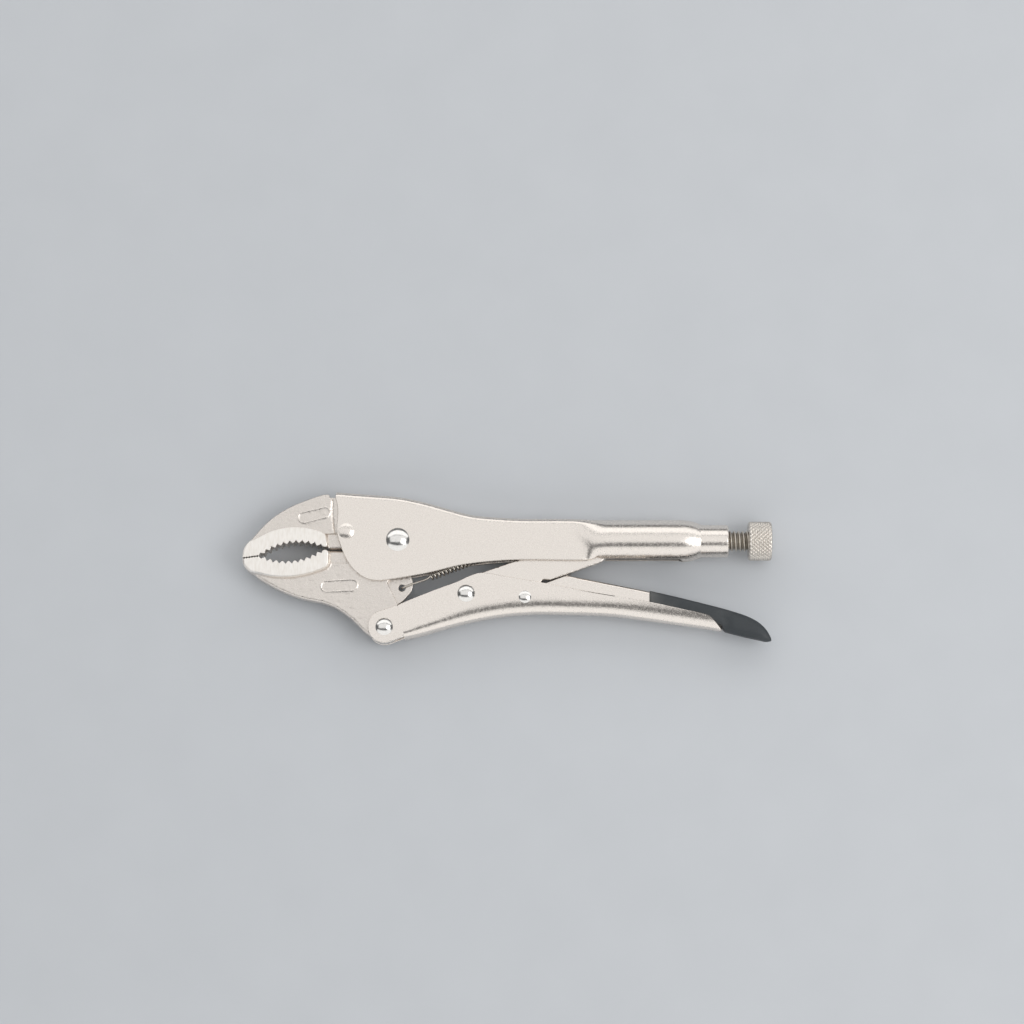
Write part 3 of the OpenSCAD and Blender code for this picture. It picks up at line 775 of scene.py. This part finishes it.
# ---------------------------------------------------------------- moving handle
LEVER_TOP = curve([(-9.1, -34.6), (-3, -32.4), (3.5, -29.5), (10, -26.8), (20, -22.9), (28, -20),
                   (34, -17.2), (40, -15.7), (50, -17.3), (60, -19), (70, -20.7), (90, -24.6),
                   (110, -28), (122, -30.2), (133.3, -32.7), (144.6, -35.3), (147.5, -36.8),
                   (150.5, -40), (152.8, -42.8)], 6)
LEVER_UNDER = curve([(1.5, -47.5), (3.5, -47), (8.6, -46), (14.3, -44.4), (20, -42.7),
                     (31.3, -39.6), (42.6, -37.2), (54, -35.6), (67, -34.9), (80, -35.1),
                     (93.6, -35.4), (105, -36.3), (122, -38.6), (133.3, -40.2), (144.6, -41.8),
                     (152.8, -43.1)], 6)


def channel_half(foot, up, bend, deep, width, height, rows=10):
    """Near half of a U section that starts at foot and rises along up round an elliptic bend."""
    half = [(Vector((*foot, (width - deep) * k / 3)), Vector((*(-up), 0))) for k in range(4)]
    level = min(bend, max(height - 0.4, height / 2))
    end = math.acos(1 - level / bend)
    for k in range(1, 9):
        a = end * k / 8
        p = foot + up * bend * (1 - math.cos(a))
        half.append((Vector((*p, width - deep + deep * math.sin(a))),
                     Vector((*(-up * math.cos(a) / bend), math.sin(a) / deep)).normalized()))
    tip, n = half[-1]
    run = Vector((*(up * math.sin(end) * bend), math.cos(end) * deep)).normalized()
    rest = (height - level) / run.xy.dot(up)
    for k in range(1, rows + 1):
        half.append((tip + run * rest * k / rows, n))
    return half


def stand(foot_line, rim_line, x):
    """Foot of the section at x, the direction its cheeks rise in and their height to the rim."""
    foot = Vector((x, at_x(foot_line, x)))
    side = 1 if at_x(rim_line, x) > foot.y else -1
    slope = at_x(foot_line, x + 1) - at_x(foot_line, x - 1)
    up = Vector((-slope, 2)).normalized() * side
    height = 0.0
    for _ in range(12):
        height = (at_x(rim_line, x + up.x * height) - foot.y) / up.y
    return foot, up, max(height, 0.25)


def channel(name, foot_line, rim_line, xs, bend, width, thick):
    """A channel along foot_line whose cheeks reach to rim_line, with its last end rounded.

    bend gives the height and the depth of the rounded corner at x."""
    steps = [(x, 0.0) for x in xs[:-1]]
    for a in (math.radians(30), math.radians(60), math.radians(90)):
        steps.append((xs[-1] - EDGE * (1 - math.sin(a)), EDGE * (1 - math.cos(a))))
    stations = []
    for x, inset in steps:
        foot, up, height = stand(foot_line, rim_line, x)
        half = channel_half(foot, up, *bend(x), width, height)
        stations.append(sheet_path(half, thick, inset))
    return shell(name, stations, 50)


# Radius of the front lug round its rivet, and where the channel behind it starts and how far it runs.
LUG_R = 7.7
LEVER_START, LEVER_RUN = 3.5, 149.2


def lever_bend(x):
    """Height and depth of the moving handle's rounded corner: tight at its front, broad behind."""
    tail = smooth(95, 122, x)
    high = 4.0 + 1.5 * smooth(LEVER_START, 13, x) + 3.0 * smooth(13, 40, x) + 1.8 * tail
    return high, min(high, 4.4 + 0.6 * tail)


def make_lever():
    count = 90
    thick = SHEET - 0.1
    xs = [LEVER_START + LEVER_RUN * i / count for i in range(count + 1)]
    body = channel("channel", LEVER_UNDER, LEVER_TOP, xs, lever_bend, LEVER_CHEEK, thick)
    foot, up, height = stand(LEVER_UNDER, LEVER_TOP, LEVER_START)
    rim = foot + up * height
    reach = rim - Vector(LEVER_PIVOT)
    touch = math.degrees(math.atan2(reach.y, reach.x) + math.acos(LUG_R / reach.length))
    lug = arc(LEVER_PIVOT, LUG_R, touch, 287, 28)
    front = dense([rim, lug[0]], 1.0)[:-1] + lug[:-1]
    front += dense([lug[-1], foot + up * 1.1], 1.0)
    z1 = LEVER_CHEEK
    z0 = z1 - thick
    cheeks = [plate("cheek", front, *z, EDGE, False) for z in ((z0, z1), (-z1, -z0))]
    return finish_piece(join("lower_handle", [body] + cheeks), NICKEL, "nickel_plate", "lever",
                        "lever_handle")


# ---------------------------------------------------------------- link and release lever
# Width of the link and the middle of its rounded tip.
LINK_W = 14.1
LINK_TIP = (104.0, 0.0)


def link_frame(u, v):
    """A point u along the link from its pivot and v to its left."""
    d = (Vector(LINK_TIP) - Vector(LINK_PIVOT)).normalized()
    return Vector(LINK_PIVOT) + d * u + Vector((-d.y, d.x)) * v


def make_link():
    half = LINK_W / 2
    length = (Vector(LINK_TIP) - Vector(LINK_PIVOT)).length
    local = arc((0, 0), 6.4, 270, 120, 20) + [Vector(p) for p in ((7, half), (length - 20, half))]
    local += arc((length, 0), 3.0, 60, -60, 10)
    local += [Vector(p) for p in ((length - 11, -half), (39.4, -half), (37.6, 0.9 - half),
                                  (36.4, 1.3 - half), (34.2, -half), (8, -half))]
    z = LINK_BOX[1].z
    piece = plate("toggle_bar", [link_frame(*p) for p in local], -z, z, 0.5)
    return finish_piece(piece, NICKEL, "nickel_plate", "link", "toggle_link")


RELEASE_START = 79.5
RELEASE_TOP = curve([(RELEASE_START, -17.0), (82.5, -17.1), (86, -17.7), (95, -19.4),
                     (105, -21.4), (118.7, -24.2), (130, -27.3), (150, -32.4), (165, -37)], 6)
RELEASE_UNDER = curve([(RELEASE_START, -29.6), (100, -30.4), (120, -32.9), (140, -36.4),
                       (152, -39), (165, -45)], 6)
RELEASE_Z = 2.7


def make_release_lever():
    count, start, thick = 40, RELEASE_START, 1.4
    xs = [start + 82 * i / count for i in range(count + 1)]
    arm = channel("arm", RELEASE_TOP, RELEASE_UNDER, xs,
                  lambda x: [0.4 + 1.2 * smooth(start, start + 7, x)] * 2, RELEASE_Z, thick)
    gap = LINK_W / 2 + 0.45
    nose = [link_frame(48.6, -gap), link_frame(50, -gap - 0.25)]
    angle = math.degrees(math.atan2(-LINK_PIVOT[1], LINK_TIP[0] - LINK_PIVOT[0]))
    top, foot = Vector((start, -17.05)), Vector((start, -29.6))
    outline = [foot, Vector((66, -29.6))] + arc(RELEASE_PIVOT, 3.1, 250, 90 + angle, 16)
    outline += nose + [top]
    face = RELEASE_Z - 0.02
    cheeks = [plate("cheek", outline, *z, 0.3, False) for z in ((1.3, face), (-face, -1.3))]
    web = plate("nose", [link_frame(40, -gap), nose[0], nose[1], top, top - Vector((0, 1.5)),
                         link_frame(40, -gap - 1.5)], -2.5, 2.5, 0.2)
    return finish_piece(join("release_arm", [arm, web] + cheeks), NICKEL, "nickel_plate",
                        "release", "release_lever")


GRIP_TOP = curve([(COAT_X, -23.75), (130, -26.3), (140, -28.75), (150, -31.3), (158, -33.5),
                  (165, -35.9), (170, -38.6), (173.6, -42), (175.6, -45.4), (176.2, -47.2)], 6)
GRIP_UNDER = curve([(COAT_X, -33.6), (130, -35.4), (140, -37.4), (149, -39.5), (152.4, -40.6),
                    (153.4, -42.4), (154.6, -43.3), (158, -44.3), (164, -45.8), (170, -47.1),
                    (173.6, -47.9), (176.2, -47.5)], 6)


def make_grip():
    """The dipped coat: rounded boxes along the release lever's tail, swelling behind the handle."""
    loops = []
    first = [(COAT_X + 0.9 * (1 - math.sin(a)), 0.9 * (1 - math.cos(a)))
             for a in (math.pi / 2 * (1 - k / 5) for k in range(6))]
    steps = first + [(COAT_X + 1.3 + 53.2 * i / 60, 0.0) for i in range(61)]
    steps += [(173.3 + 2.75 * math.sin(math.pi / 2 * k / 8), 0.0) for k in range(9)]
    for x, inset in steps:
        top, low = at_x(GRIP_TOP, x) - inset, at_x(GRIP_UNDER, x) + inset
        bulge = smooth(153.4, 158.5, x)
        wide = 3.7 + 1.05 * bulge - inset
        taper = max(0.0, (x - 169) / 7.3)
        wide *= math.sqrt(max(1 - 0.85 * taper ** 2.4, 0.02))
        mid, high = (top + low) / 2, max((top - low) / 2, 0.12)
        power = 2 / (4.2 - 1.2 * bulge)
        ring = []
        for k in range(40):
            a = 2 * math.pi * k / 40
            c, s = math.cos(a), math.sin(a)
            ring.append((x, mid + high * math.copysign(abs(s) ** power, s),
                         wide * math.copysign(abs(c) ** power, c)))
        loops.append(ring)
    return finish_piece(loft("dipped_grip", loops, 60), VINYL, "vinyl_grip", "release",
                        "release_grip")


# ---------------------------------------------------------------- adjuster
def tube_of(profile, name, steps=96):
    """A ring solid about the screw's axis: the profile closes on itself."""
    n = len(profile) - 1
    points, faces = [], []
    for i in range(steps):
        a = 2 * math.pi * i / steps
        points += [(h, r * math.cos(a), r * math.sin(a)) for r, h in profile[:-1]]
    for i in range(steps):
        k = (i + 1) % steps
        faces += [(i * n + j, i * n + (j + 1) % n, k * n + (j + 1) % n, k * n + j)
                  for j in range(n)]
    return add(name, points, faces, 35)


def make_sleeve():
    r, end = SLEEVE_BOX[1].y, SLEEVE_BOX[1].x
    bore = 5.1
    profile = [(bore, 137), (r, 137), (r, end - 0.8), (r - 0.25, end - 0.3), (r - 0.8, end),
               (bore + 0.5, end), (bore, end - 0.5), (bore, 137)]
    return finish_piece(tube_of(profile, "sleeve"), NICKEL, "nickel_plate", "handle",
                        "threaded_sleeve")


THREAD_PITCH = 2.0
THREAD_DEPTH = 1.15


def make_screw():
    """A rod whose radius follows a thread's profile, with painted shade in its roots."""
    x0, x1, crest = SCREW_BOX[0].x, KNOB_BOX[0].x + 0.6, SCREW_BOX[1].y - 0.03
    per_turn, around = 12, 56
    rows = int((x1 - x0) / THREAD_PITCH * per_turn)
    loops = []
    for i in range(rows + 1):
        x = x0 + (x1 - x0) * i / rows
        ring = []
        for k in range(around):
            a = 2 * math.pi * k / around
            phase = (x / THREAD_PITCH - k / around) % 1.0
            tooth = min(max((abs(phase - 0.5) - 0.05) / 0.37, 0.0), 1.0)
            end = min(1.0, (x - x0) / 1.2)
            r = crest - THREAD_DEPTH * tooth - 0.7 * (1 - end)
            ring.append((x, r * math.cos(a), r * math.sin(a)))
        loops.append(ring)
    screw = finish_piece(loft("screw_thread", loops, 70), THREAD, "screw_thread", "knob",
                         "adjusting_screw")
    # Faces below the crests, in the thread's roots, get painted shade.
    paint(screw, THREAD_ROOT_SHADE, lambda c: math.hypot(c.y, c.z) < crest - 0.5)
    return screw


def make_knob():
    """A knob with two crossing sets of grooves, which leave diamonds between them."""
    x0, x1, r0 = KNOB_BOX[0].x, KNOB_BOX[1].x, KNOB_BOX[1].y
    around, rows, edge = 300, 60, 1.15
    diamonds, rise, depth = 29, 0.48, 0.62
    loops = []
    length = x1 - x0

    def ring_at(x, base, knurl):
        ring = []
        for k in range(around):
            a = 2 * math.pi * k / around
            turn = diamonds * k / around
            lead = (x - x0) * rise
            g1 = abs((turn + lead) % 1.0 - 0.5) * 2
            g2 = abs((turn - lead) % 1.0 - 0.5) * 2
            cut = max(max(g1, g2) - 0.25, 0) / 0.75
            r = base - depth * knurl * cut
            ring.append((x, r * math.cos(a), r * math.sin(a)))
        return ring

    for k in range(5):
        loops.append(ring_at(x0 + 0.02 * k, 4.6 + (r0 - edge - 4.6) * k / 4, 0))
    for k in range(1, 6):
        a = math.pi / 2 * k / 6
        loops.append(ring_at(x0 + edge * (1 - math.cos(a)), r0 - edge + edge * math.sin(a), k / 6))
    for i in range(rows + 1):
        loops.append(ring_at(x0 + edge + (length - 2 * edge) * i / rows, r0, 1))
    for k in range(5, 0, -1):
        a = math.pi / 2 * k / 6
        loops.append(ring_at(x1 - edge * (1 - math.cos(a)), r0 - edge + edge * math.sin(a), k / 6))
    for r, x in ((r0 - edge, x1), (6.6, x1), (6.3, x1 - 0.25), (0.6, x1 - 0.3)):
        loops.append(ring_at(x, r, 0))
    # The knob's nickel carries painted shade for its knurl.
    return finish_piece(loft("knurled_knob", loops, 80), KNURL_SHADED_NICKEL, "knurled_knob", "knob",
                        "adjusting_knob")


# ---------------------------------------------------------------- rivets
def make_rivet(name, node, body, at, material, slot):
    """A rivet with a domed head on either cheek, each on a short upright edge."""
    low, high = (drawn(p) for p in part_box(node))
    r, top = (high.x - low.x) / 2, high.z
    seat = CHEEK if body == "handle" else LEVER_CHEEK
    base = seat + 0.22
    ball = (r * r + (top - base) ** 2) / (2 * (top - base))
    half = [(r * 0.55, 0.0), (r * 0.55, seat - 0.02), (r - 0.25, seat - 0.02), (r, base)]
    half += [(r * k / 14, top - ball + math.sqrt(ball * ball - (r * k / 14) ** 2))
             for k in range(13, 0, -1)]
    half.append((0.2, top))
    profile = [(p, -h) for p, h in half[:0:-1]] + half
    return finish_piece(lathe(name, profile, at, sharp=45), material, slot, body, node)


# ---------------------------------------------------------------- return spring
# The lug that the rear hook holds, and the coil: start, lean, turns, pitch and radii.
ANCHOR = (52.0, -3.6)
COIL_START = Vector((15.5, -16.6, 0))
COIL_ANGLE = math.radians(20)
COIL_TURNS, COIL_PITCH, COIL_R, WIRE_R = 16, 1.9, 1.775, 0.475


def make_spring():
    """A wire swept from the hook in the jaw's tab through the coil to the handle's lug."""
    run = Vector((math.cos(COIL_ANGLE), math.sin(COIL_ANGLE), 0))
    side, up = Vector((-run.y, run.x, 0)), Vector((0, 0, 1))
    path = curve([(*HOOK, -2.3), (*HOOK, 0.4), (HOOK[0] + 0.5, HOOK[1] + 0.2, 1.55),
                  (HOOK[0] + 1.6, HOOK[1] + 0.6, 2.0), (HOOK[0] + 5, HOOK[1] + 1.9, 1.95),
                  (12.4, -18.75, COIL_R), (14.2, -17.9, COIL_R)], 4)
    steps = 20
    for i in range(COIL_TURNS * steps + 1):
        a = math.pi / 2 + 2 * math.pi * i / steps
        path.append(COIL_START + run * COIL_PITCH * i / steps
                    + COIL_R * (side * math.cos(a) + up * math.sin(a)))
    end = path[-1]
    path += curve([end + run * 1.2, (ANCHOR[0] - 2.4, ANCHOR[1] - 0.9, 1.9),
                   (ANCHOR[0] - 0.7, ANCHOR[1] - 0.25, 1.6), (*ANCHOR, 0.4), (*ANCHOR, -1.7)], 3)
    n, around, loops = None, 10, []
    for i, p in enumerate(path):
        t = (path[min(i + 1, len(path) - 1)] - path[max(i - 1, 0)]).normalized()
        n = Vector((1, 0.2, 0)) if n is None else n
        n = (n - n.dot(t) * t).normalized()
        b = t.cross(n)
        loops.append([p + WIRE_R * (n * math.cos(2 * math.pi * k / around)
                                    + b * math.sin(2 * math.pi * k / around))
                      for k in range(around)])
    spring = finish_piece(loft("return_coil", loops, 60), WIRE, "spring_steel", None,
                          "return_spring")
    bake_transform(spring)
    return spring


make_fixed_handle()
make_fixed_jaw()
make_movable_jaw()
make_lever()
make_link()
make_release_lever()
make_grip()
make_sleeve()
make_screw()
make_knob()
make_rivet("main_rivet_head", "main_rivet", "handle", (0, 0), POLISHED, "polished_rivet")
make_rivet("jaw_rivet_head", "fixed_jaw_rivet", "handle", JAW_RIVET, NICKEL, "nickel_plate")
make_rivet("lever_rivet_head", "jaw_lever_rivet", "lever", LEVER_PIVOT, POLISHED,
           "polished_rivet")
make_rivet("link_rivet_head", "link_rivet", "lever", LINK_PIVOT, POLISHED, "polished_rivet")
make_rivet("release_rivet_head", "release_rivet", "lever", RELEASE_PIVOT, POLISHED,
           "polished_rivet")
make_spring()

# ---------------------------------------------------------------- floor, light and camera
FLOOR_Z = cad_box[0][2] - 0.0002


def make_floor():
    mesh = bpy.data.meshes.new("floor")
    size, n = 3.0, 24
    bm = bmesh.new()
    bmesh.ops.create_grid(bm, x_segments=n, y_segments=n, size=size)
    for v in bm.verts:
        v.co.z = FLOOR_Z
    bm.to_mesh(mesh)
    bm.free()
    floor = bpy.data.objects.new("floor", mesh)
    bpy.context.scene.collection.objects.link(floor)
    mat, tree, bsdf, where = shader("pale_floor", (0.57, 0.59, 0.61), 0.0, 0.75)
    tinted(tree, bsdf, texture(tree, where, 30, 3), (0.55, 0.57, 0.595), (0.585, 0.605, 0.63))
    bumped(tree, bsdf, [(texture(tree, where, 500, 3), 0.08, 0.0002)])
    mesh.materials.append(mat)


def strip_light(name, low, high, reach, radiance, length=6.4, turn=0.0):
    """A long softbox between two angles from straight up towards +Y, turned towards -X."""
    half = math.radians((high - low) / 2)
    light = bpy.data.lights.new(name, "AREA")
    light.shape = "RECTANGLE"
    light.size, light.size_y = length, 2 * reach * math.sin(half)
    light.energy = radiance * math.pi * light.size * light.size_y
    obj = bpy.data.objects.new(name, light)
    bpy.context.scene.collection.objects.link(obj)
    lean = math.radians((low + high) / 2)
    away = Vector((0, math.sin(lean), math.cos(lean))) * reach * math.cos(half)
    away.rotate(Euler((0, 0, math.radians(turn))))
    obj.location = placed((52, -10, 0)) + away
    obj.rotation_euler = (-lean, 0, math.radians(turn))
    obj.visible_camera = False


def make_camera():
    """Above the tool at the viewing angle, at the distance where the picture is 484 mm wide."""
    aim = placed((53.9, 13.1, 6.2))
    tilt, distance, view_w = math.radians(82), 1.6, 0.4836
    data = bpy.data.cameras.new("camera")
    data.sensor_width = 36
    data.lens = 36 * distance / view_w
    data.clip_end = 20
    camera = bpy.data.objects.new("camera", data)
    bpy.context.scene.collection.objects.link(camera)
    camera.location = aim + Vector((0, -math.cos(tilt), math.sin(tilt))) * distance
    camera.rotation_euler = (math.pi / 2 - tilt, 0, 0)
    bpy.context.scene.camera = camera


make_floor()
strip_light("softbox_back", 38, 74, 1.5, 1.12)
strip_light("softbox_above", -15, 34, 2.3, 0.79)
strip_light("softbox_front", -88, -37, 1.5, 0.88)
strip_light("softbox_end", 24, 56, 1.6, 2.6, 0.9, -103.0)
world = bpy.data.worlds.new("studio")
bpy.context.scene.world = world
world.use_nodes = True
world.node_tree.nodes["Background"].inputs["Color"].default_value = (0.86, 0.88, 0.9, 1)
world.node_tree.nodes["Background"].inputs["Strength"].default_value = 0.13
bpy.context.scene.view_settings.view_transform = "Standard"
make_camera()
